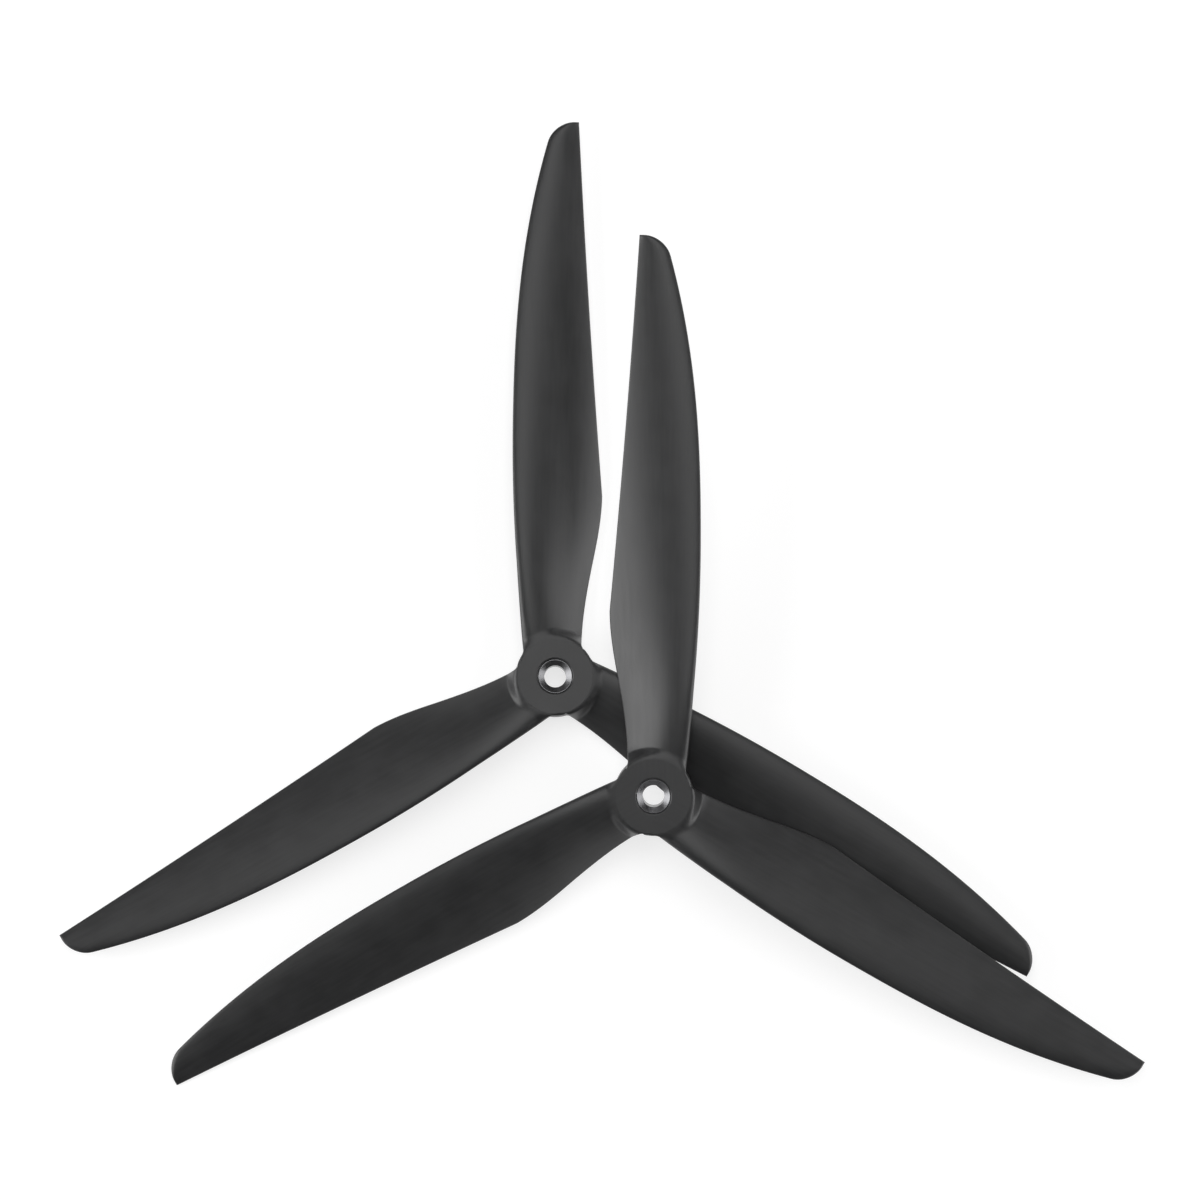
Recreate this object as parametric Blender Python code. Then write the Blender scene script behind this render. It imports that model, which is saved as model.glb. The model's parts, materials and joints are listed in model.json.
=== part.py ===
"""A handed pair of three-blade propellers, one lying across the other on a flat surface.

Lengths are in metres. Each propeller is built about its own shaft axis with the underside of its hub
at zero height, under an empty of its own. The empties are then laid down: the anticlockwise propeller
on the surface, and the clockwise one partly across it, in the way that it comes to rest there.
"""

import math

import bmesh
import bpy
from mathutils import Matrix, Vector
from mathutils.bvhtree import BVHTree

MM = 0.001

# Propeller
PROP_DIAMETER = 254 * MM
PITCH = 114.3 * MM
BLADE_COUNT = 3

# Hub
HUB_DIAMETER = 18 * MM
HUB_HEIGHT = 8.5 * MM
HUB_TOP_ROUND = 0.5 * MM
HUB_BASE_ROUND = 0.6 * MM
HUB_MOUTH_CHAMFER = 0.3 * MM

# Shaft bush, with a countersunk mouth that leaves a narrow rim
SHAFT_BORE = 5 * MM
BUSH_WALL = 1.35 * MM
BUSH_SET_BACK = 0.4 * MM
BUSH_RIM = 0.15 * MM
BUSH_CHAMFER = 0.3 * MM
COUNTERSINK_DEPTH = 0.7 * MM

# Clearance between pieces that touch
FIT_GAP = 0.3 * MM

# Blade root. Each edge leaves the hub wall at a part of the angle between two blades. Above a blade the hub's
# top reaches out past the wall and falls to the blade in an easy curve. The other sides have a fillet.
ROOT_LEAD_PART = 0.433
ROOT_TRAIL_PART = 0.325
RUN_OUT_START = 0.4 * MM
RUN_OUT_END = 1.7 * MM
ROOT_EDGE_FILLET = 0.6 * MM
ROOT_BELOW_FILLET = 0.8 * MM
HUB_RIM_LEFT = 0.1 * MM

# Blade planform. An edge's width is its distance from the blade's centre line, seen from above, and a
# share is a place along the blade, from 0 at the hub wall to 1 at the tip.
LEAD_WIDEST = 10.7 * MM
LEAD_WIDEST_SHARE = 0.42
LEAD_FALL_POWER = 2.5
LEAD_AT_TIP = 2.5 * MM
TRAIL_WIDEST = 10 * MM
HEEL_SHARE = 0.275
TRAIL_AT_TIP = 3.2 * MM
TRAIL_HOLLOW = 0.3 * MM
TIP_FLAT = 1 * MM

# Blade section. The swell of an aerofoil's half thickness along its chord is a sum of a square root and
# the first four powers.
AEROFOIL_SWELL = ((1.4845, 0.5), (-0.63, 1), (-1.758, 2), (1.4215, 3), (-0.518, 4))
ROOT_THICKNESS = 3.8 * MM
TIP_THICKNESS = 0.9 * MM
THINNING_POWER = 2.5
TRAILING_EDGE_THICKNESS = 0.5 * MM
CAMBER_SHARE = 0.04

# Blade twist. The blade follows its pitch towards the tip, falls short of it further in, and flattens again
# over its innermost share, so that it leaves the hub wall within the hub's height.
FLAT_RADIUS = 32 * MM
ROOT_FLATTENING = 0.45
FLATTENED_SHARE = 0.15
BLADE_AXIS_RISE = 0.4 * MM

# How the pair lies: the clockwise hub to the right of the anticlockwise one and nearer the viewer, and the
# way that a blade points
CW_TO_RIGHT = 22.4 * MM
CW_NEARER = 26.6 * MM
CCW_HEADING = math.radians(89)
CW_HEADING = math.radians(90)

# Facets
TURNED_STEPS = 48
ROUND_STEPS = 4
CHORD_STEPS = 10
SPAN_STEPS = 20
FILLET_STEPS = 5
TIP_STEPS = 5
SMOOTH_ANGLE = math.radians(35)

# The first sections are bent round the hub wall, and the bend is gone at this share of the blade.
WALL_BEND_SHARE = 0.15

# How the propellers are settled on what is under them
SETTLING_PASSES = 6
UP = Vector((0, 0, 1))
FAR = 1.0

# Colour, roughness and metallic value
NYLON = ((0.030, 0.030, 0.032), 0.42, 0)
DARK_METAL = ((0.13, 0.13, 0.135), 0.25, 1)

hub_radius = HUB_DIAMETER / 2
bush_bore_radius = SHAFT_BORE / 2
bush_radius = bush_bore_radius + BUSH_WALL
bush_height = HUB_HEIGHT - BUSH_SET_BACK
hub_bore_radius = bush_radius + FIT_GAP
root_radius = hub_radius + FIT_GAP
blade_span = PROP_DIAMETER / 2 - root_radius
blade_axis_height = HUB_HEIGHT / 2 + BLADE_AXIS_RISE
blade_spacing = math.tau / BLADE_COUNT
root_lead = root_radius * math.sin(ROOT_LEAD_PART * blade_spacing)
root_trail = root_radius * math.sin(ROOT_TRAIL_PART * blade_spacing)
tip_round = LEAD_AT_TIP + TRAIL_AT_TIP - TIP_FLAT


def clear_scene():
    for thing in list(bpy.data.objects):
        bpy.data.objects.remove(thing)


def add_piece(name, mesh_source, finish, parent):
    """A named object with a material of its own, under the empty of its propeller."""
    bmesh.ops.recalc_face_normals(mesh_source, faces=mesh_source.faces)
    mesh = bpy.data.meshes.new(name)
    mesh_source.to_mesh(mesh)
    mesh_source.free()
    mesh.shade_smooth()
    mesh.set_sharp_from_angle(angle=SMOOTH_ANGLE)
    colour, roughness, metallic = finish
    material = bpy.data.materials.new(name)
    material.use_nodes = True
    shader = material.node_tree.nodes["Principled BSDF"]
    shader.inputs["Base Color"].default_value = (*colour, 1)
    shader.inputs["Roughness"].default_value = roughness
    shader.inputs["Metallic"].default_value = metallic
    mesh.materials.append(material)
    piece = bpy.data.objects.new(name, mesh)
    piece.parent = parent
    bpy.context.scene.collection.objects.link(piece)
    return piece


def turned(profile):
    """A ring turned about the shaft axis from a closed profile of (radius, height) points."""
    source = bmesh.new()
    rings = []
    for radius, height in profile:
        ring = []
        for step in range(TURNED_STEPS):
            angle = math.tau * step / TURNED_STEPS
            ring.append(source.verts.new((radius * math.cos(angle), radius * math.sin(angle), height)))
        rings.append(ring)
    for ring, following in zip(rings, rings[1:] + rings[:1]):
        for step in range(TURNED_STEPS):
            beside = (step + 1) % TURNED_STEPS
            source.faces.new((ring[step], ring[beside], following[beside], following[step]))
    return source


def quarter_round(centre, radius, first_angle):
    """Points of a quarter circle that runs anticlockwise in a profile."""
    points = []
    for step in range(ROUND_STEPS + 1):
        angle = first_angle + math.pi / 2 * step / ROUND_STEPS
        points.append((centre[0] + radius * math.cos(angle), centre[1] + radius * math.sin(angle)))
    return points


def hub_shape():
    base = quarter_round((hub_radius - HUB_BASE_ROUND, HUB_BASE_ROUND), HUB_BASE_ROUND, -math.pi / 2)
    top = quarter_round((hub_radius - HUB_TOP_ROUND, HUB_HEIGHT - HUB_TOP_ROUND), HUB_TOP_ROUND, 0)
    mouth = [
        (hub_bore_radius + HUB_MOUTH_CHAMFER, HUB_HEIGHT),
        (hub_bore_radius, HUB_HEIGHT - HUB_MOUTH_CHAMFER),
    ]
    return turned([(hub_bore_radius, 0)] + base + top + mouth)


def bush_shape():
    return turned(
        [
            (bush_bore_radius + BUSH_CHAMFER, 0),
            (bush_radius, 0),
            (bush_radius, bush_height),
            (bush_radius - BUSH_RIM, bush_height),
            (bush_bore_radius, bush_height - COUNTERSINK_DEPTH),
            (bush_bore_radius, BUSH_CHAMFER),
        ]
    )


def eased(share):
    """A share from 0 to 1 that starts and ends gently."""
    share = min(max(share, 0), 1)
    return share**2 * (3 - 2 * share)


def leading_width(share):
    """The leading edge swells to its widest place, then falls away ever faster and rounds off the tip."""
    if share < LEAD_WIDEST_SHARE:
        rise = 1 - (1 - share / LEAD_WIDEST_SHARE) ** 2
        return root_lead + (LEAD_WIDEST - root_lead) * rise
    outboard = (share - LEAD_WIDEST_SHARE) / (1 - LEAD_WIDEST_SHARE)
    width = LEAD_WIDEST - (LEAD_WIDEST - LEAD_AT_TIP) * outboard**LEAD_FALL_POWER
    from_round = max(0, tip_round - (1 - share) * blade_span)
    return width - tip_round + math.sqrt(max(0, tip_round**2 - from_round**2))


def trailing_width(share):
    """The trailing edge swells smoothly to the heel, then runs to the tip in a slight hollow."""
    if share < HEEL_SHARE:
        inboard = share / HEEL_SHARE
        return root_trail + (TRAIL_WIDEST - root_trail) * eased(inboard)
    outboard = (share - HEEL_SHARE) / (1 - HEEL_SHARE)
    straight = TRAIL_WIDEST + (TRAIL_AT_TIP - TRAIL_WIDEST) * outboard
    return straight - TRAIL_HOLLOW * 4 * outboard * (1 - outboard)


def pitch_angle(share):
    radius = root_radius + share * blade_span
    slope = PITCH / (math.tau * math.hypot(radius, FLAT_RADIUS))
    inboard = max(0, 1 - share / FLATTENED_SHARE)
    return math.atan(slope * (1 - ROOT_FLATTENING * inboard**2))


def half_thickness(along, thickness):
    """Half the thickness of the aerofoil, at a share of the chord from the nose."""
    swell = sum(factor * along**power for factor, power in AEROFOIL_SWELL)
    return thickness * swell + TRAILING_EDGE_THICKNESS / 2 * along


def section_loop(share):
    """Points (across, height) round the blade, from the nose over the top and back underneath."""
    lead = leading_width(share)
    trail = trailing_width(share)
    angle = pitch_angle(share)
    chord = (lead + trail) / math.cos(angle)
    thickness = TIP_THICKNESS + (ROOT_THICKNESS - TIP_THICKNESS) * (1 - share) ** THINNING_POWER
    upper = []
    lower = []
    for step in range(CHORD_STEPS + 1):
        along = (1 - math.cos(math.pi * step / CHORD_STEPS)) / 2
        middle = 4 * CAMBER_SHARE * chord * along * (1 - along)
        half = half_thickness(along, thickness)
        ahead = lead - chord * along * math.cos(angle)
        for points, above in ((upper, middle + half), (lower, middle - half)):
            across = ahead - above * math.sin(angle)
            height = blade_axis_height + ahead * math.tan(angle) + above * math.cos(angle)
            points.append((across, height))
    return upper + lower[:0:-1]


def filleted(loop, from_wall):
    """The section joined to the hub, at a distance from its wall: raised to its top, and flared elsewhere."""
    run_out = eased((RUN_OUT_END - from_wall) / (RUN_OUT_END - RUN_OUT_START))
    grown = []
    for step, (across, height) in enumerate(loop):
        run = Vector(loop[(step + 1) % len(loop)]) - Vector(loop[step - 1])
        outward = Vector((run.y, -run.x)).normalized()
        radius = ROOT_EDGE_FILLET + (ROOT_BELOW_FILLET - ROOT_EDGE_FILLET) * max(0, -outward.y)
        flare = radius - math.sqrt(radius**2 - max(0, radius - from_wall) ** 2)
        raised = max(0, HUB_HEIGHT - HUB_RIM_LEFT - height) * run_out * eased(2 * outward.y)
        grown.append((across + flare * outward.x, height + flare * min(0, outward.y) + raised))
    return grown


def section(share, hand):
    """The points of a blade's section in place. The first sections are bent round the hub wall."""
    from_wall = share * blade_span
    bend_left = max(0, 1 - share / WALL_BEND_SHARE) ** 2
    points = []
    for across, height in filleted(section_loop(share), from_wall):
        wall_bend = root_radius - math.sqrt(root_radius**2 - min(abs(across), root_radius) ** 2)
        points.append((root_radius + from_wall - wall_bend * bend_left, hand * across, height))
    return points


def blade_shares():
    """Places of the sections: close together in the root fillet and round the tip."""
    fillet = [
        RUN_OUT_END * (1 - math.cos(math.pi / 2 * step / FILLET_STEPS)) / blade_span
        for step in range(FILLET_STEPS + 1)
    ]
    tip = [
        1 - tip_round * (1 - math.sin(math.pi / 2 * step / TIP_STEPS)) / blade_span
        for step in range(TIP_STEPS + 1)
    ]
    between = [
        fillet[-1] + (tip[0] - fillet[-1]) * step / SPAN_STEPS
        for step in range(1, SPAN_STEPS)
    ]
    return fillet + between + tip


def blade_shape(hand):
    """A blade lofted through its sections, pointing along +X. Hand is 1 with the leading edge at +Y."""
    source = bmesh.new()
    loops = [[source.verts.new(point) for point in section(share, hand)] for share in blade_shares()]
    for loop, following in zip(loops, loops[1:]):
        for step in range(len(loop)):
            beside = (step + 1) % len(loop)
            source.faces.new((loop[step], loop[beside], following[beside], following[step]))
    for loop in (loops[0], loops[-1]):
        source.faces.new((loop[0], loop[1], loop[-1]))
        for step in range(1, CHORD_STEPS):
            source.faces.new((loop[step], loop[step + 1], loop[-step - 1], loop[-step]))
    return source


def build_propeller(prefix, hand):
    """The pieces of one propeller under its empty, with its first blade pointing along +X."""
    empty = bpy.data.objects.new(prefix + "_propeller", None)
    bpy.context.scene.collection.objects.link(empty)
    pieces = [
        add_piece(prefix + "_hub", hub_shape(), NYLON, empty),
        add_piece(prefix + "_shaft_bush", bush_shape(), DARK_METAL, empty),
    ]
    for number in range(BLADE_COUNT):
        blade = add_piece(f"{prefix}_blade_{number + 1}", blade_shape(hand), NYLON, empty)
        blade.rotation_euler.z = number * blade_spacing
        pieces.append(blade)
    return empty, pieces


def surface_of(pieces, pose=Matrix()):
    """Points to feel for contact with, and a search tree of all the faces, with the propeller posed."""
    points = []
    faces = []
    feelers = []
    for piece in pieces:
        start = len(points)
        points += [pose @ piece.matrix_basis @ vertex.co for vertex in piece.data.vertices]
        faces += [[start + corner for corner in face.vertices] for face in piece.data.polygons]
        for edge in piece.data.edges:
            first, second = edge.vertices
            feelers.append((points[start + first] + points[start + second]) / 2)
    return points + feelers, BVHTree.FromPolygons(points, faces)


def supports_of(upper, pose, lower):
    """Where the posed propeller could be held up: places in plan from its hub, and the lift needed there."""
    points, tree = upper
    hub = pose.translation
    found = []
    for point in points:
        at = pose @ point
        found.append((at.x - hub.x, at.y - hub.y, -at.z))
        under = lower and lower[1].ray_cast(at.to_2d().to_3d() + FAR * UP, -UP)[0]
        if under:
            found.append((at.x - hub.x, at.y - hub.y, under.z + FIT_GAP - at.z))
    to_own_frame = pose.inverted()
    up_in_own_frame = to_own_frame.to_3x3() @ UP
    for point in lower[0] if lower else ():
        over = tree.ray_cast(to_own_frame @ (point - FAR * UP), up_in_own_frame)[0]
        if over:
            at = pose @ over
            found.append((at.x - hub.x, at.y - hub.y, point.z + FIT_GAP - at.z))
    return found


def settle(upper, pose, lower=None):
    """The pose in which a propeller rests on the surface, and on another propeller that lies there.

    It rests on the three supports whose plane, under its hub, asks for the greatest lift.
    """
    for _ in range(SETTLING_PASSES):
        hull = bmesh.new()
        for support in supports_of(upper, pose, lower):
            hull.verts.new(support)
        bmesh.ops.convex_hull(hull, input=hull.verts)
        lift, normal = BVHTree.FromBMesh(hull).ray_cast(FAR * UP, -UP)[:2]
        hull.free()
        lean = UP.rotation_difference(normal).to_matrix().to_4x4()
        pose = Matrix.Translation(pose.translation + lift) @ lean @ pose.to_3x3().to_4x4()
    return pose


def middle_in_plan(points):
    low_x, high_x = min(point.x for point in points), max(point.x for point in points)
    low_y, high_y = min(point.y for point in points), max(point.y for point in points)
    return Vector((low_x + high_x, low_y + high_y, 0)) / 2


clear_scene()
ccw_empty, ccw_pieces = build_propeller("ccw", 1)
cw_empty, cw_pieces = build_propeller("cw", -1)

ccw_pose = settle(surface_of(ccw_pieces), Matrix.Rotation(CCW_HEADING, 4, "Z"))
ccw_lying = surface_of(ccw_pieces, ccw_pose)
cw_above = Matrix.Translation((CW_TO_RIGHT, -CW_NEARER, 0)) @ Matrix.Rotation(CW_HEADING, 4, "Z")
cw_pose = settle(surface_of(cw_pieces), cw_above, ccw_lying)
cw_lying = surface_of(cw_pieces, cw_pose)

to_middle = Matrix.Translation(-middle_in_plan(ccw_lying[0] + cw_lying[0]))
ccw_empty.matrix_world = to_middle @ ccw_pose
cw_empty.matrix_world = to_middle @ cw_pose
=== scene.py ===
"""A handed pair of three-blade propellers, seen from above as in the photo.

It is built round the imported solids, and lengths are in metres. Each propeller is one nylon
moulding, whose blades run into the hub through fillets, with a turned bush in the hub's bore. A
moulding is made about its own shaft axis, with the underside of the hub at zero height, and is then
laid where its solids lie.
"""

import json
import math

import bmesh
import bpy
from mathutils import Matrix, Vector


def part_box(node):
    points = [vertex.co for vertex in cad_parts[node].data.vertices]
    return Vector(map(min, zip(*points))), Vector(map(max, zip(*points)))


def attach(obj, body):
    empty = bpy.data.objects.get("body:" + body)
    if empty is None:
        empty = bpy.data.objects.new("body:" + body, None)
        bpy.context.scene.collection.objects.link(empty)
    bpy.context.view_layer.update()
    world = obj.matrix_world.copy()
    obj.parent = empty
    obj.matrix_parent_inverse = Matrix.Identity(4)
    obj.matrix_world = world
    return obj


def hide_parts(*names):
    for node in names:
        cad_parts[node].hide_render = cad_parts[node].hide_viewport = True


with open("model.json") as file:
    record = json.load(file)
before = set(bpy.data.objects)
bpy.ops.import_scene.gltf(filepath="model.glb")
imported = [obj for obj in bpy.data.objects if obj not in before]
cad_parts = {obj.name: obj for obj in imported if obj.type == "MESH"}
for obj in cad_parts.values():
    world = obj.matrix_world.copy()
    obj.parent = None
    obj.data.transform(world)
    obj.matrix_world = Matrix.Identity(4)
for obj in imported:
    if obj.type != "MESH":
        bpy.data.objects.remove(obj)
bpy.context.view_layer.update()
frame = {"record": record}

MM = 0.001
UP = Vector((0, 0, 1))

# Propeller. The made shape turns anticlockwise, seen from above, and its mirror image clockwise.
PROP_DIAMETER = 254 * MM
PITCH = 114.3 * MM
BLADE_COUNT = 3
AS_MADE = 1
MIRRORED = -1
CCW_HEADING = math.radians(89)
CW_HEADING = math.radians(90)

# Hub
HUB_DIAMETER = 18 * MM
HUB_HEIGHT = 8.5 * MM
HUB_TOP_ROUND = 0.5 * MM
HUB_BASE_ROUND = 0.6 * MM
HUB_MOUTH_CHAMFER = 0.3 * MM

# Shaft bush. The nylon closes round it with only a hairline between them.
SHAFT_BORE = 5 * MM
BUSH_WALL = 1.35 * MM
BUSH_SET_BACK = 0.4 * MM
BUSH_RIM = 0.15 * MM
BUSH_CHAMFER = 0.3 * MM
COUNTERSINK_DEPTH = 0.7 * MM
BUSH_EDGE_BREAK = 0.06 * MM
SEAT_GAP = 0.04 * MM

# The blades of the solids start at this distance from the hub wall.
FIT_GAP = 0.3 * MM

# Blade root. Each edge leaves the hub wall at a part of the angle between two blades. Above a blade
# the hub's top, less HUB_RIM_LEFT, reaches out past the wall and falls to the blade in an easy curve.
# It does so fully where the blade's skin faces up by at least RUN_OUT_FACING. The other sides have a
# fillet. Up to WALL_BEND_SHARE of the blade, its rings still bend with the wall.
ROOT_LEAD_PART = 0.433
ROOT_TRAIL_PART = 0.325
RUN_OUT = 2.2 * MM
RUN_OUT_FACING = 0.5
HUB_RIM_LEFT = 0.02 * MM
ROOT_EDGE_FILLET = 0.6 * MM
ROOT_BELOW_FILLET = 0.8 * MM
WALL_BEND_SHARE = 0.15

# Blade planform. An edge's width is its distance from the blade's centre line, seen from above, and
# a share is a place along the blade, from 0 at the hub wall to 1 at the tip.
LEAD_WIDEST = 10.7 * MM
LEAD_WIDEST_SHARE = 0.42
LEAD_FALL_POWER = 2.5
LEAD_AT_TIP = 2.5 * MM
TRAIL_WIDEST = 10 * MM
HEEL_SHARE = 0.275
TRAIL_AT_TIP = 3.2 * MM
TRAIL_HOLLOW = 0.3 * MM
TIP_FLAT = 1 * MM

# Blade section. The swell of an aerofoil's half thickness along its chord is a sum of a square root
# and the first four powers.
AEROFOIL_SWELL = ((1.4845, 0.5), (-0.63, 1), (-1.758, 2), (1.4215, 3), (-0.518, 4))
ROOT_THICKNESS = 3.8 * MM
TIP_THICKNESS = 0.9 * MM
THINNING_POWER = 2.5
TRAILING_EDGE_THICKNESS = 0.5 * MM
TRAILING_EDGE_ROUND = 0.25 * MM
TIP_EDGE_ROUND = 0.3 * MM
CAMBER_SHARE = 0.04

# Blade twist. FLAT_RADIUS holds the angle back near the hub, and the first share of the blade is
# flatter still.
FLAT_RADIUS = 32 * MM
ROOT_FLATTENING = 0.45
FLATTENED_SHARE = 0.15
BLADE_AXIS_RISE = 0.4 * MM

# Fineness of the meshes. The rows of the hub's flat faces are at shares of the way across: from the
# rim of the top in to the bore, and from the bore out to the rim of the underside.
CHORD_STEPS = 44
SIDE_STEPS = 8
SPAN_STEPS = 84
FILLET_STEPS = 18
TIP_STEPS = 14
WALL_RINGS = 16
WALL_SPREAD = 1.5
HUB_TOP_ROWS = (0, 0.05, 0.3, 0.6, 0.9, 0.96, 1)
HUB_BASE_ROWS = (0, 0.04, 0.3, 0.6, 0.95, 1)
TURNED_STEPS = 128
WELD = 0.0015 * MM
SHARP_ANGLE = math.radians(60)
TURNED_SHARP_ANGLE = math.radians(25)

# Patterns in the materials. Scales are in waves to the metre. A noise seldom leaves NOISE_RANGE, so
# that range is spread over the whole of a tone or a roughness.
NOISE_RANGE = (0.3, 0.7)
RELIEF = 0.004 * MM

# Nylon, with fibre marks drawn along the blade, a cloudy mottle and a fine mould grain. In patches
# along its edges a painted sheen lightens the colour, and the edges are glossier there.
NYLON_DARK = (0.0130, 0.0131, 0.0136)
NYLON_LIGHT = (0.0215, 0.0217, 0.0224)
NYLON_ROUGHNESS = (0.39, 0.45)
FIBRE_SCALES = (90, 1500, 400)
FIBRE_DETAIL = 3.0
FIBRE_NOISE_ROUGHNESS = 0.6
FIBRE_PART = 0.6
CLOUD_SCALE = 160.0
CLOUD_PART = 0.4
GRAIN_SCALE = 4200.0
GRAIN_DETAIL = 1.0
MOTTLE_TONE = (0.0, 0.7)
# How much the painted sheen lightens the colour along the edges
SHEEN_TONE = 0.3
EDGE_GLOSS = 0.08
EDGE_REACH = 0.9 * MM
PATCH_RANGE = (0.35, 0.65)
PATCH_SHEEN = (0.15, 1.0)

# Bush metal, with tool rings and a faint stain
METAL_DARK = (0.13, 0.13, 0.135)
METAL_LIGHT = (0.19, 0.19, 0.196)
METAL_ROUGHNESS = (0.24, 0.38)
GLINT_STRETCH = 0.45
TOOL_RING_SCALE = 9000.0
TOOL_RING_PART = 0.5
STAIN_SCALE = 700.0
STAIN_DETAIL = 3.0
STAIN_PART = 0.5

# View. The camera leans from straight overhead, about half as far as the upper propeller's shaft
# does. The lens and the sensor are in millimetres.
VIEW_LEAN = (-0.01, -0.055)
VIEW_RIGHT = -0.40 * MM
VIEW_UP = 0.77 * MM
VIEW_WIDTH = 274.0 * MM
LENS = 250
SENSOR = 36

# Softboxes: the way to each from the pair, as degrees round from +X and degrees down from overhead,
# then its width, height and radiance
SOFTBOX_DISTANCE = 0.6
SOFTBOXES = {
    "overhead": (90, 15, 0.28, 0.62, 2.7),
    "left": (185, 66, 0.42, 0.5, 4.6),
    "right": (355, 57, 0.4, 0.28, 2.9),
    "low_right": (0, 79, 1.2, 0.18, 3.4),
}

# Sky: pale round the horizon and dim overhead. The range of heights in which it dims is given by
# the sines of the angles above the horizon.
SKY_DIMS = (0.1, 0.4)
SKY_STRENGTH = (1.0, 0.08)

# Stage. Near the pair the floor's own glow leaves room for shadows. It rises within a range of
# distances from the middle, and further out the floor is white.
FLOOR_SIDE = 6.0
FLOOR_DROP = 0.1 * MM
FLOOR_COLOUR = 0.36
FLOOR_GLOW = (0.72, 1.0)
GLOW_RISES = (0.2, 0.45)

hub_radius = HUB_DIAMETER / 2
bush_bore_radius = SHAFT_BORE / 2
bush_radius = bush_bore_radius + BUSH_WALL
bush_height = HUB_HEIGHT - BUSH_SET_BACK
hub_bore_radius = bush_radius + SEAT_GAP
root_radius = hub_radius + FIT_GAP
blade_span = PROP_DIAMETER / 2 - root_radius
blade_axis_height = HUB_HEIGHT / 2 + BLADE_AXIS_RISE
blade_spacing = math.tau / BLADE_COUNT
root_lead = root_radius * math.sin(ROOT_LEAD_PART * blade_spacing)
root_trail = root_radius * math.sin(ROOT_TRAIL_PART * blade_spacing)
tip_round = LEAD_AT_TIP + TRAIL_AT_TIP - TIP_FLAT

# The hub's outside as one line, from the rim of its underside up to the rim of its top
base_round_length = HUB_BASE_ROUND * math.pi / 2
top_round_start = base_round_length + HUB_HEIGHT - HUB_BASE_ROUND - HUB_TOP_ROUND
outline_length = top_round_start + HUB_TOP_ROUND * math.pi / 2

# One blade's sector of the hub ends halfway to the edge of the next blade on each side.
lead_angle = math.asin(root_lead / hub_radius)
trail_angle = math.asin(root_trail / hub_radius)
sector_lead = (lead_angle + blade_spacing - trail_angle) / 2
sector_trail = sector_lead - blade_spacing


def mix(first, second, share):
    return first + (second - first) * share


def eased(share):
    """A share from 0 to 1 that starts and ends gently."""
    share = min(max(share, 0), 1)
    return share**2 * (3 - 2 * share)


def arched(share):
    """0 at both ends of a share and 1 in its middle."""
    return 4 * share * (1 - share)


def quarter_circle(distance, radius):
    """Height of a quarter circle as a share of its radius, at a distance in from its low end."""
    inside = max(0, 1 - distance / radius)
    return math.sqrt(1 - inside**2)


def leading_width(share):
    """The leading edge swells to its widest, falls away ever faster and rounds off the tip."""
    if share < LEAD_WIDEST_SHARE:
        rise = 1 - (1 - share / LEAD_WIDEST_SHARE) ** 2
        return mix(root_lead, LEAD_WIDEST, rise)
    outboard = (share - LEAD_WIDEST_SHARE) / (1 - LEAD_WIDEST_SHARE)
    width = mix(LEAD_WIDEST, LEAD_AT_TIP, outboard**LEAD_FALL_POWER)
    return width - tip_round * (1 - quarter_circle((1 - share) * blade_span, tip_round))


def trailing_width(share):
    """The trailing edge swells smoothly to the heel, then runs to the tip in a slight hollow."""
    if share < HEEL_SHARE:
        inboard = share / HEEL_SHARE
        return mix(root_trail, TRAIL_WIDEST, eased(inboard))
    outboard = (share - HEEL_SHARE) / (1 - HEEL_SHARE)
    return mix(TRAIL_WIDEST, TRAIL_AT_TIP, outboard) - TRAIL_HOLLOW * arched(outboard)


def pitch_angle(share):
    """The angle that the pitch gives at a place along the blade, made flatter near the hub."""
    radius = root_radius + share * blade_span
    slope = PITCH / (math.tau * math.hypot(radius, FLAT_RADIUS))
    inboard = max(0, 1 - share / FLATTENED_SHARE)
    return math.atan(slope * (1 - ROOT_FLATTENING * inboard**2))


def half_thickness(along, thickness):
    """Half the thickness of the aerofoil, at a share of the chord from the nose."""
    swell = sum(factor * along**power for factor, power in AEROFOIL_SWELL)
    return thickness * swell + TRAILING_EDGE_THICKNESS / 2 * along


def section_loop(share):
    """Points (across, height) round a blade: from the nose over the top, and back below."""
    lead = leading_width(share)
    trail = trailing_width(share)
    angle = pitch_angle(share)
    chord = (lead + trail) / math.cos(angle)
    thickness = mix(TIP_THICKNESS, ROOT_THICKNESS, (1 - share) ** THINNING_POWER)
    tip_closing = quarter_circle((1 - share) * blade_span, TIP_EDGE_ROUND)
    upper = []
    lower = []
    for step in range(CHORD_STEPS + 1):
        along = (1 - math.cos(math.pi * step / CHORD_STEPS)) / 2
        middle = CAMBER_SHARE * chord * arched(along)
        closing = tip_closing * quarter_circle(chord * (1 - along), TRAILING_EDGE_ROUND)
        half = half_thickness(along, thickness) * closing
        ahead = lead - chord * along * math.cos(angle)
        for points, above in ((upper, middle + half), (lower, middle - half)):
            across = ahead - above * math.sin(angle)
            height = blade_axis_height + ahead * math.tan(angle) + above * math.cos(angle)
            points.append((across, height))
    return upper + lower[-2:0:-1]


def filleted(loop, from_wall):
    """The section at a distance from the hub wall, raised to the hub's top and flared elsewhere."""
    run_out = eased(1 - from_wall / RUN_OUT)
    grown = []
    for step, (across, height) in enumerate(loop):
        before = Vector(loop[step - 1])
        after = Vector(loop[(step + 1) % len(loop)])
        run = (after - before).normalized()
        outward = Vector((run.y, -run.x))
        radius = mix(ROOT_EDGE_FILLET, ROOT_BELOW_FILLET, max(0, -outward.y))
        flare = radius * (1 - quarter_circle(from_wall, radius))
        to_top = max(0, HUB_HEIGHT - HUB_RIM_LEFT - height)
        raised = to_top * run_out * eased(outward.y / RUN_OUT_FACING)
        grown.append((across + flare * outward.x, height + flare * min(0, outward.y) + raised))
    return grown


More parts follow.
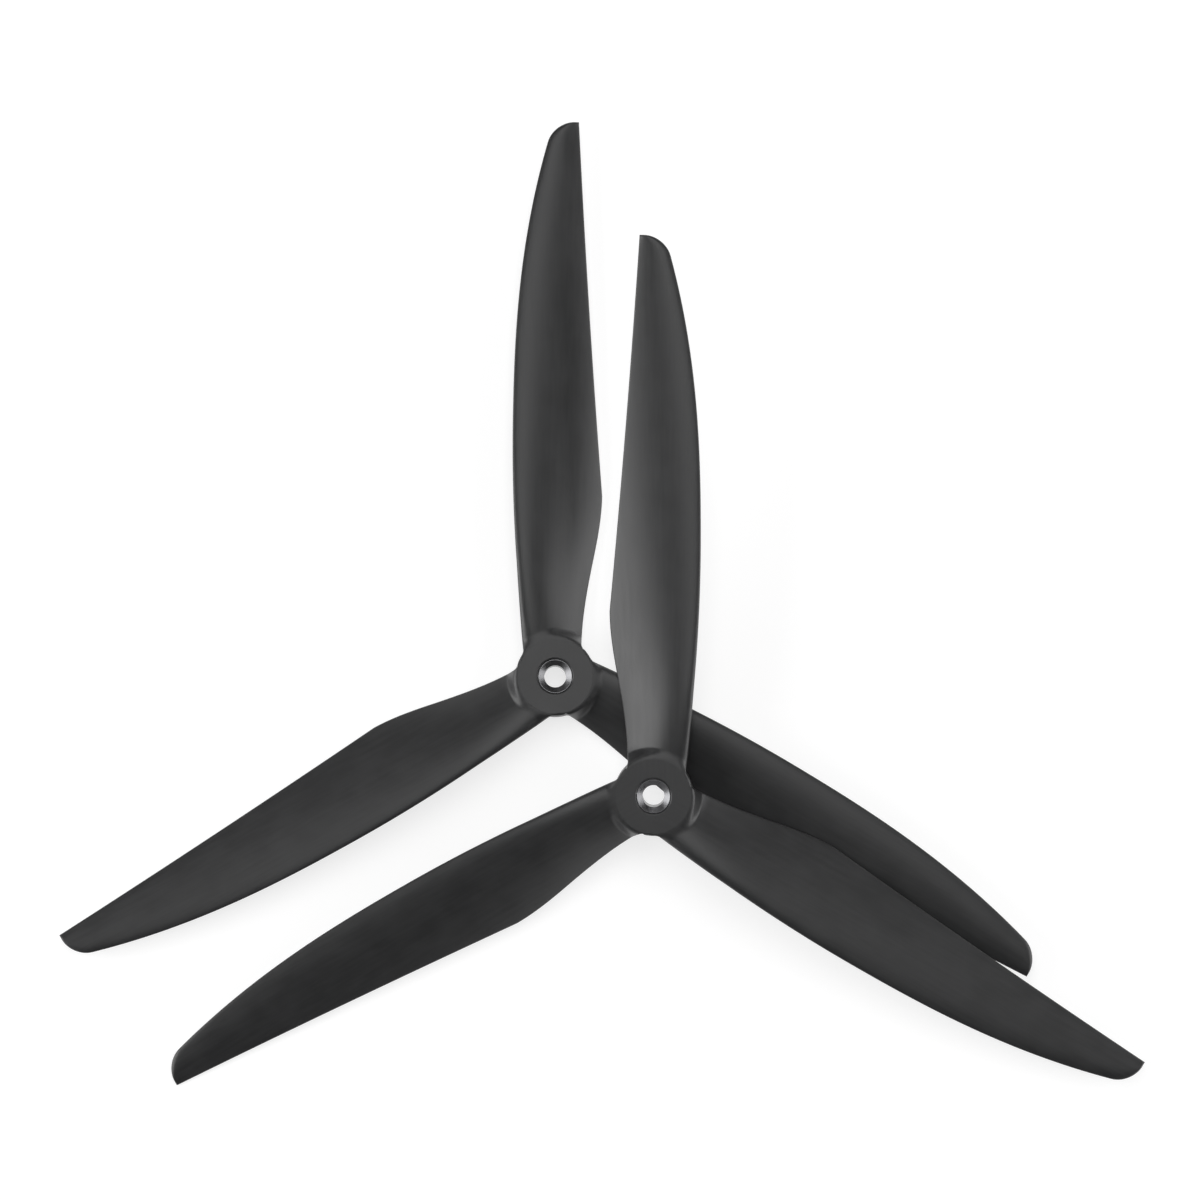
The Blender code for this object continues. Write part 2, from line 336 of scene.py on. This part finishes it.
def hub_outline(place):
    """Radius and height of the hub's outside, at a distance along its line."""
    if place < base_round_length:
        turn = place / HUB_BASE_ROUND
        radius = hub_radius - HUB_BASE_ROUND * (1 - math.sin(turn))
        return radius, HUB_BASE_ROUND * (1 - math.cos(turn))
    if place < top_round_start:
        return hub_radius, HUB_BASE_ROUND + place - base_round_length
    turn = (place - top_round_start) / HUB_TOP_ROUND
    radius = hub_radius - HUB_TOP_ROUND * (1 - math.cos(turn))
    return radius, HUB_HEIGHT - HUB_TOP_ROUND * (1 - math.sin(turn))


def outline_place(height):
    """The place on the hub's outside that has a height."""
    if height < HUB_BASE_ROUND:
        return HUB_BASE_ROUND * math.acos(1 - height / HUB_BASE_ROUND)
    if height < HUB_HEIGHT - HUB_TOP_ROUND:
        return base_round_length + height - HUB_BASE_ROUND
    return top_round_start + HUB_TOP_ROUND * math.asin(1 - (HUB_HEIGHT - height) / HUB_TOP_ROUND)


def blade_ring(from_wall):
    """The points round a blade at a distance from the hub wall. The first rings bend with it."""
    share = max(0, from_wall - FIT_GAP) / blade_span
    bend_left = max(0, 1 - share / WALL_BEND_SHARE) ** 2
    ring = []
    for across, height in filleted(section_loop(share), from_wall):
        wall_radius = hub_outline(outline_place(min(max(height, 0), HUB_HEIGHT)))[0]
        wall = math.sqrt(max(0, wall_radius**2 - across**2))
        bend = (hub_radius - wall) * bend_left
        ring.append(Vector((hub_radius + from_wall - bend, across, height)))
    return ring


def blade_distances():
    """Where the rings are: close together in the root fillet and round the tip."""
    length = blade_span + FIT_GAP
    fillet = [
        RUN_OUT * (1 - math.cos(math.pi / 2 * step / FILLET_STEPS))
        for step in range(FILLET_STEPS + 1)
    ]
    tip = [
        length - tip_round * (1 - math.sin(math.pi / 2 * step / TIP_STEPS))
        for step in range(TIP_STEPS + 1)
    ]
    between = [mix(fillet[-1], tip[0], step / SPAN_STEPS) for step in range(1, SPAN_STEPS)]
    return fillet + between + tip


def sector_border(step):
    """Angle and place on the hub's outside where a blade's sector ends, for a step round a ring."""
    side = min(step, 2 * CHORD_STEPS - step)
    end = outline_length if step <= CHORD_STEPS else 0
    middle = outline_length / 2
    if side <= SIDE_STEPS:
        return sector_lead, mix(middle, end, side / SIDE_STEPS)
    if side >= CHORD_STEPS - SIDE_STEPS:
        return sector_trail, mix(middle, end, (CHORD_STEPS - side) / SIDE_STEPS)
    over = (side - SIDE_STEPS) / (CHORD_STEPS - 2 * SIDE_STEPS)
    return mix(sector_lead, sector_trail, over), end


def turned_point(angle, radius, height):
    return Vector((radius * math.cos(angle), radius * math.sin(angle), height))


def wall_rings(root_ring):
    """Rings on the hub's outside that spread from a blade's root to the border of its sector."""
    rings = []
    for number in range(1, WALL_RINGS + 1):
        spread = (number / WALL_RINGS) ** WALL_SPREAD
        ring = []
        for step, point in enumerate(root_ring):
            border_angle, border_place = sector_border(step)
            angle = mix(math.atan2(point.y, point.x), border_angle, spread)
            place = mix(outline_place(point.z), border_place, spread)
            ring.append(turned_point(angle, *hub_outline(place)))
        rings.append(ring)
    return rings


def bore_profile():
    """Radius and height from the rim of the hub's top, down the bore and out to the lower rim."""
    mouth = hub_bore_radius + HUB_MOUTH_CHAMFER
    top_rim = hub_radius - HUB_TOP_ROUND
    base_rim = hub_radius - HUB_BASE_ROUND
    top = [(mix(top_rim, mouth, share), HUB_HEIGHT) for share in HUB_TOP_ROWS]
    bore = [(hub_bore_radius, HUB_HEIGHT - HUB_MOUTH_CHAMFER), (hub_bore_radius, HUB_HEIGHT / 2)]
    base = [(mix(hub_bore_radius, base_rim, share), 0) for share in HUB_BASE_ROWS]
    return top + bore + base


def add_strips(source, strips, closed):
    """Four-sided faces between neighbouring rows of points."""
    rows = [[source.verts.new(point) for point in strip] for strip in strips]
    for row, following in zip(rows, rows[1:]):
        for step in range(len(row) if closed else len(row) - 1):
            beside = (step + 1) % len(row)
            source.faces.new((row[step], row[beside], following[beside], following[step]))
    return rows


def sector_shape():
    """One blade with its sector of the hub, pointing along +X with its leading edge at +Y.

    Each point carries two values for the nylon: edge is 1 at the rim of the blade and falls
    inwards, and flow is the point's place before the blade is laid.
    """
    source = bmesh.new()
    edge = source.verts.layers.float.new("edge")
    rings = [blade_ring(distance) for distance in blade_distances()]
    for ring in add_strips(source, rings, closed=True):
        for vertex in ring:
            to_nose = (vertex.co - ring[0].co).length
            to_trail = (vertex.co - ring[CHORD_STEPS].co).length
            to_tip = max(0, PROP_DIAMETER / 2 - vertex.co.x)
            vertex[edge] = math.exp(-min(to_nose, to_trail, to_tip) / EDGE_REACH)
    add_strips(source, [rings[0]] + wall_rings(rings[0]), closed=True)
    steps_across = range(SIDE_STEPS, CHORD_STEPS - SIDE_STEPS + 1)
    angles = [sector_border(step)[0] for step in steps_across]
    faces = [[turned_point(angle, *place) for angle in angles] for place in bore_profile()]
    add_strips(source, faces, closed=False)
    flow = source.verts.layers.float_vector.new("flow")
    for vertex in source.verts:
        vertex[flow] = vertex.co
    return source


def add_piece(name, source, material, sharp_angle=SHARP_ANGLE):
    bmesh.ops.recalc_face_normals(source, faces=source.faces)
    mesh = bpy.data.meshes.new(name)
    source.to_mesh(mesh)
    source.free()
    mesh.shade_smooth()
    mesh.set_sharp_from_angle(angle=sharp_angle)
    mesh.materials.append(material)
    piece = bpy.data.objects.new(name, mesh)
    bpy.context.scene.collection.objects.link(piece)
    return piece


def moulding_shape(hand, pose):
    """A whole propeller: its sectors side by side and welded, laid in its pose."""
    sector = sector_shape()
    sector_mesh = bpy.data.meshes.new("sector")
    sector.to_mesh(sector_mesh)
    sector.free()
    whole = bmesh.new()
    handed = Matrix.Diagonal((1, hand, 1, 1))
    for number in range(BLADE_COUNT):
        count = len(whole.verts)
        whole.from_mesh(sector_mesh)
        whole.verts.ensure_lookup_table()
        placed = pose @ Matrix.Rotation(number * blade_spacing, 4, "Z") @ handed
        bmesh.ops.transform(whole, matrix=placed, verts=whole.verts[count:])
    bpy.data.meshes.remove(sector_mesh)
    bmesh.ops.remove_doubles(whole, verts=whole.verts, dist=WELD)
    return whole


def bush_shape():
    """A bush turned from bar, with a countersunk mouth above and broken edges."""
    profile = [
        (bush_bore_radius + BUSH_CHAMFER, 0),
        (bush_radius - BUSH_EDGE_BREAK, 0),
        (bush_radius, BUSH_EDGE_BREAK),
        (bush_radius, bush_height - BUSH_EDGE_BREAK),
        (bush_radius - BUSH_EDGE_BREAK, bush_height),
        (bush_radius - BUSH_RIM, bush_height),
        (bush_bore_radius, bush_height - COUNTERSINK_DEPTH),
        (bush_bore_radius, BUSH_CHAMFER),
    ]
    source = bmesh.new()
    angles = [math.tau * step / TURNED_STEPS for step in range(TURNED_STEPS)]
    rings = [[turned_point(angle, *place) for angle in angles] for place in profile]
    add_strips(source, rings + rings[:1], closed=True)
    bmesh.ops.remove_doubles(source, verts=source.verts, dist=WELD)
    return source


def new_material(name):
    """A material, its node tree and its shader."""
    material = bpy.data.materials.new(name)
    material.use_nodes = True
    tree = material.node_tree
    return material, tree, tree.nodes["Principled BSDF"]


def add_node(tree, kind, **settings):
    node = tree.nodes.new(kind)
    for name, value in settings.items():
        setattr(node, name, value)
    return node


def own_place(tree):
    """A point's place in its piece's own frame."""
    return add_node(tree, "ShaderNodeTexCoord").outputs["Object"]


def carried(tree, name):
    """The node of a value that the points of a mesh carry."""
    return add_node(tree, "ShaderNodeAttribute", attribute_name=name)


def scaled(tree, vector, scales):
    node = add_node(tree, "ShaderNodeVectorMath", operation="MULTIPLY")
    node.inputs[1].default_value = scales
    tree.links.new(vector, node.inputs[0])
    return node.outputs["Vector"]


def length_of(tree, vector):
    node = add_node(tree, "ShaderNodeVectorMath", operation="LENGTH")
    tree.links.new(vector, node.inputs[0])
    return node.outputs["Value"]


def height_of(tree, vector):
    node = add_node(tree, "ShaderNodeSeparateXYZ")
    tree.links.new(vector, node.inputs["Vector"])
    return node.outputs["Z"]


def noise(tree, vector, scale, detail=2.0, roughness=0.5):
    node = add_node(tree, "ShaderNodeTexNoise")
    node.inputs["Scale"].default_value = scale
    node.inputs["Detail"].default_value = detail
    node.inputs["Roughness"].default_value = roughness
    tree.links.new(vector, node.inputs["Vector"])
    return node.outputs["Fac"]


def map_range(tree, value, from_range, to_range):
    """A value with one range of it spread smoothly over another."""
    node = add_node(tree, "ShaderNodeMapRange", interpolation_type="SMOOTHSTEP")
    names = ("From Min", "From Max", "To Min", "To Max")
    for name, setting in zip(names, from_range + to_range):
        node.inputs[name].default_value = setting
    tree.links.new(value, node.inputs["Value"])
    return node.outputs["Result"]


def maths(tree, operation, first, second):
    node = add_node(tree, "ShaderNodeMath", operation=operation)
    for socket, value in zip(node.inputs, (first, second)):
        if isinstance(value, float):
            socket.default_value = value
        else:
            tree.links.new(value, socket)
    return node.outputs["Value"]


def sum_of_parts(tree, first, first_part, second, second_part):
    """Two values added up, each times its part."""
    first_share = maths(tree, "MULTIPLY", first, first_part)
    second_share = maths(tree, "MULTIPLY", second, second_part)
    return maths(tree, "ADD", first_share, second_share)


def colour_between(tree, factor, dark, light):
    ramp = add_node(tree, "ShaderNodeValToRGB")
    ramp.color_ramp.elements[0].color = (*dark, 1)
    ramp.color_ramp.elements[1].color = (*light, 1)
    tree.links.new(factor, ramp.inputs["Fac"])
    return ramp.outputs["Color"]


def bump(tree, height, over=None):
    """The normal of a surface with a faint relief, which may lie over another one."""
    node = add_node(tree, "ShaderNodeBump")
    node.inputs["Strength"].default_value = 1.0
    node.inputs["Distance"].default_value = RELIEF
    tree.links.new(height, node.inputs["Height"])
    if over:
        tree.links.new(over, node.inputs["Normal"])
    return node.outputs["Normal"]


def nylon_material():
    """Black glass-fibre nylon: satin, with fibre marks, a fine mould grain and glossier edges with
    painted sheen.
    """
    material, tree, shader = new_material("glass_nylon")
    place = own_place(tree)
    drawn = scaled(tree, carried(tree, "flow").outputs["Vector"], FIBRE_SCALES)
    fibres = noise(tree, drawn, 1.0, FIBRE_DETAIL, FIBRE_NOISE_ROUGHNESS)
    clouds = noise(tree, place, CLOUD_SCALE)
    grain = noise(tree, place, GRAIN_SCALE, GRAIN_DETAIL)
    mottle = sum_of_parts(tree, fibres, FIBRE_PART, clouds, CLOUD_PART)
    patches = map_range(tree, clouds, PATCH_RANGE, PATCH_SHEEN)
    # Painted sheen along the edges, in patches; the same mask also makes the edges glossier
    edge_sheen = maths(tree, "MULTIPLY", carried(tree, "edge").outputs["Fac"], patches)

    mottle_tone = map_range(tree, mottle, NOISE_RANGE, MOTTLE_TONE)
    # The painted sheen lightens the colour here
    tone = maths(tree, "ADD", mottle_tone, maths(tree, "MULTIPLY", edge_sheen, SHEEN_TONE))
    tree.links.new(colour_between(tree, tone, NYLON_DARK, NYLON_LIGHT), shader.inputs["Base Color"])
    dull = map_range(tree, mottle, NOISE_RANGE, NYLON_ROUGHNESS)
    roughness = maths(tree, "SUBTRACT", dull, maths(tree, "MULTIPLY", edge_sheen, EDGE_GLOSS))
    tree.links.new(roughness, shader.inputs["Roughness"])
    tree.links.new(bump(tree, grain, over=bump(tree, fibres)), shader.inputs["Normal"])
    return material


def bush_material():
    """Dark turned metal, with fine tool rings that stretch the glints across them."""
    material, tree, shader = new_material("turned_metal")
    shader.inputs["Metallic"].default_value = 1.0
    shader.inputs["Anisotropic"].default_value = GLINT_STRETCH
    tangent = add_node(tree, "ShaderNodeTangent", direction_type="RADIAL", axis="Z")
    tree.links.new(tangent.outputs["Tangent"], shader.inputs["Tangent"])
    place = own_place(tree)
    from_axis = length_of(tree, scaled(tree, place, (1, 1, 0)))
    along_profile = maths(tree, "ADD", from_axis, height_of(tree, place))
    ring_noise = add_node(tree, "ShaderNodeTexNoise", noise_dimensions="1D")
    ring_noise.inputs["Scale"].default_value = TOOL_RING_SCALE
    tree.links.new(along_profile, ring_noise.inputs["W"])
    rings = ring_noise.outputs["Fac"]
    stain = noise(tree, place, STAIN_SCALE, STAIN_DETAIL)

    tone = sum_of_parts(tree, rings, TOOL_RING_PART, stain, STAIN_PART)
    tree.links.new(colour_between(tree, tone, METAL_DARK, METAL_LIGHT), shader.inputs["Base Color"])
    roughness = map_range(tree, tone, NOISE_RANGE, METAL_ROUGHNESS)
    tree.links.new(roughness, shader.inputs["Roughness"])
    tree.links.new(bump(tree, rings), shader.inputs["Normal"])
    return material


def white_rays(tree):
    """1 for the rays that see the background: from the camera, by gloss and through glass."""
    path = add_node(tree, "ShaderNodeLightPath")
    seen = maths(tree, "MAXIMUM", path.outputs["Is Camera Ray"], path.outputs["Is Glossy Ray"])
    return maths(tree, "MAXIMUM", seen, path.outputs["Is Transmission Ray"])


def add_floor():
    """A pale floor that is white to the camera and still takes a soft shadow."""
    material, tree, shader = new_material("floor")
    shader.inputs["Base Color"].default_value = (FLOOR_COLOUR, FLOOR_COLOUR, FLOOR_COLOUR, 1)
    shader.inputs["Roughness"].default_value = 1.0
    shader.inputs["Specular IOR Level"].default_value = 0.0
    shader.inputs["Emission Color"].default_value = (1, 1, 1, 1)
    from_middle = length_of(tree, own_place(tree))
    glow = map_range(tree, from_middle, GLOW_RISES, FLOOR_GLOW)
    strength = maths(tree, "MULTIPLY", white_rays(tree), glow)
    tree.links.new(strength, shader.inputs["Emission Strength"])
    source = bmesh.new()
    bmesh.ops.create_grid(source, x_segments=1, y_segments=1, size=FLOOR_SIDE / 2)
    floor = add_piece("floor", source, material)
    floor.location.z = -FLOOR_DROP


def add_world():
    """A sky that is white behind the floor and dims upwards."""
    world = bpy.data.worlds.new("studio")
    bpy.context.scene.world = world
    world.use_nodes = True
    tree = world.node_tree
    background = tree.nodes["Background"]
    background.inputs["Color"].default_value = (1, 1, 1, 1)
    direction = add_node(tree, "ShaderNodeTexCoord").outputs["Generated"]
    strength = map_range(tree, height_of(tree, direction), SKY_DIMS, SKY_STRENGTH)
    tree.links.new(strength, background.inputs["Strength"])


def add_softbox(name, round_from_x, down, width, height, radiance):
    """A lamp that faces the pair. Leaning about +X takes it towards -Y, 90 degrees short of +X."""
    light = bpy.data.lights.new(name, "AREA")
    light.shape = "RECTANGLE"
    light.size = width
    light.size_y = height
    light.energy = radiance * math.pi * width * height
    lean = Matrix.Rotation(math.radians(down), 4, "X")
    turn = Matrix.Rotation(math.radians(round_from_x + 90), 4, "Z")
    lamp = bpy.data.objects.new(name, light)
    lamp.matrix_world = turn @ lean @ Matrix.Translation(SOFTBOX_DISTANCE * UP)
    lamp.visible_camera = False
    bpy.context.scene.collection.objects.link(lamp)


def add_camera():
    """A long lens above the pair, with +Y towards the top of the picture."""
    towards_camera = Vector((*VIEW_LEAN, 1)).normalized()
    across = Vector((0, 1, 0)).cross(towards_camera).normalized()
    upward = towards_camera.cross(across)
    aim = across * VIEW_RIGHT + upward * VIEW_UP
    data = bpy.data.cameras.new("camera")
    data.lens = LENS
    data.sensor_width = SENSOR
    camera = bpy.data.objects.new("camera", data)
    turn = Matrix((across, upward, towards_camera)).transposed().to_4x4()
    distance = VIEW_WIDTH * LENS / SENSOR
    camera.matrix_world = Matrix.Translation(aim + towards_camera * distance) @ turn
    bpy.context.scene.collection.objects.link(camera)
    bpy.context.scene.camera = camera


def lying_pose(prefix, heading):
    """Where a propeller lies: its shaft axis from its hub's mount, and its place from its bush."""
    mounts = {mount["name"]: mount for mount in frame["record"]["mounts"]}
    axis = Vector(mounts[prefix + "_hub_top"]["axis"])
    low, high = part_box(prefix + "_shaft_bush")
    base = (low + high) / 2 - axis * bush_height / 2
    lean = UP.rotation_difference(axis).to_matrix().to_4x4()
    return Matrix.Translation(base) @ lean @ Matrix.Rotation(heading, 4, "Z")


def add_propeller(prefix, hand, heading, nylon, metal):
    pose = lying_pose(prefix, heading)
    moulding = add_piece(prefix + "_moulding", moulding_shape(hand, pose), nylon)
    blades = [f"{prefix}_blade_{number + 1}" for number in range(BLADE_COUNT)]
    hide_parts(prefix + "_hub", *blades)
    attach(moulding, prefix + "_propeller")
    bush = add_piece(prefix + "_bush", bush_shape(), metal, TURNED_SHARP_ANGLE)
    bush.matrix_world = pose
    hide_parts(prefix + "_shaft_bush")
    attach(bush, prefix + "_propeller")


nylon = nylon_material()
metal = bush_material()
add_propeller("ccw", AS_MADE, CCW_HEADING, nylon, metal)
add_propeller("cw", MIRRORED, CW_HEADING, nylon, metal)

add_floor()
add_world()
for name, softbox in SOFTBOXES.items():
    add_softbox(name, *softbox)
add_camera()

bpy.context.scene.view_settings.view_transform = "Standard"
